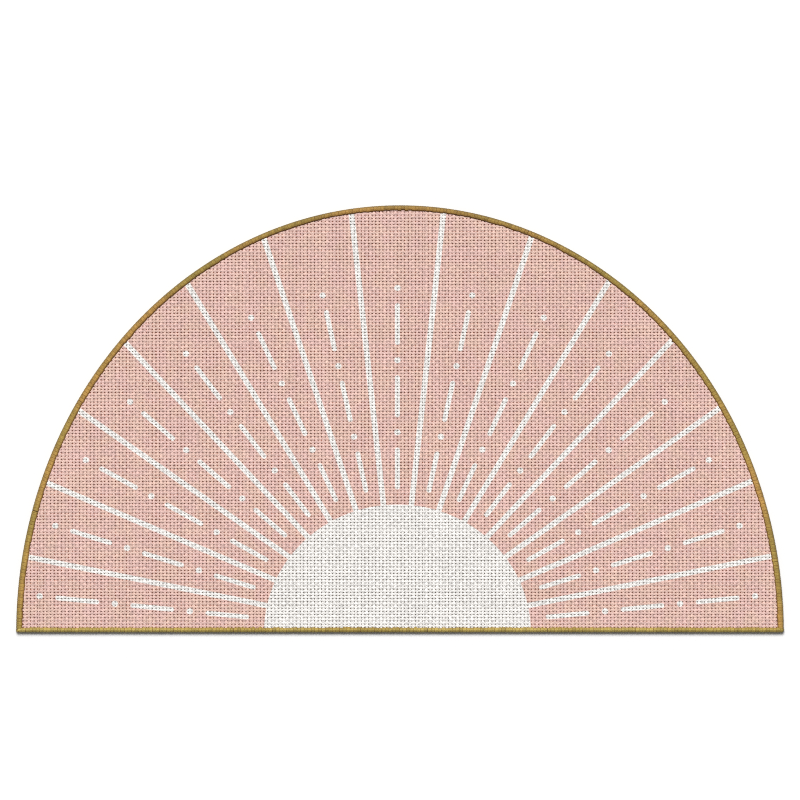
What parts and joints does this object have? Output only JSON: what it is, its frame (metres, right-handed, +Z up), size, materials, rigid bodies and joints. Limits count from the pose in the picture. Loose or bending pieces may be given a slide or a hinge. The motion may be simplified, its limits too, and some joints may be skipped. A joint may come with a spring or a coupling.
{
  "type": "doormat",
  "caption": "Flat half-round woven doormat, printed with a half sun and straight rays, its rim wrapped in an overlocked yarn edge round the curve and along the straight side.",
  "frame": {"origin": "middle of the mat's box, on the floor", "axes": "+X along the straight side, +Y from the straight side to the top of the curve, +Z up out of the printed face"},
  "size_m": [0.9144, 0.508, 0.006],
  "materials": {
    "woven_cloth": "matt plain weave of coarse yarn, printed on its upper face",
    "edge_yarn": "soft twisted yarn, closely wrapped"
  },
  "bodies": {
    "root": {"mat_cloth": "woven_cloth", "binding_curve": "edge_yarn", "binding_straight": "edge_yarn"}
  },
  "joints": []
}
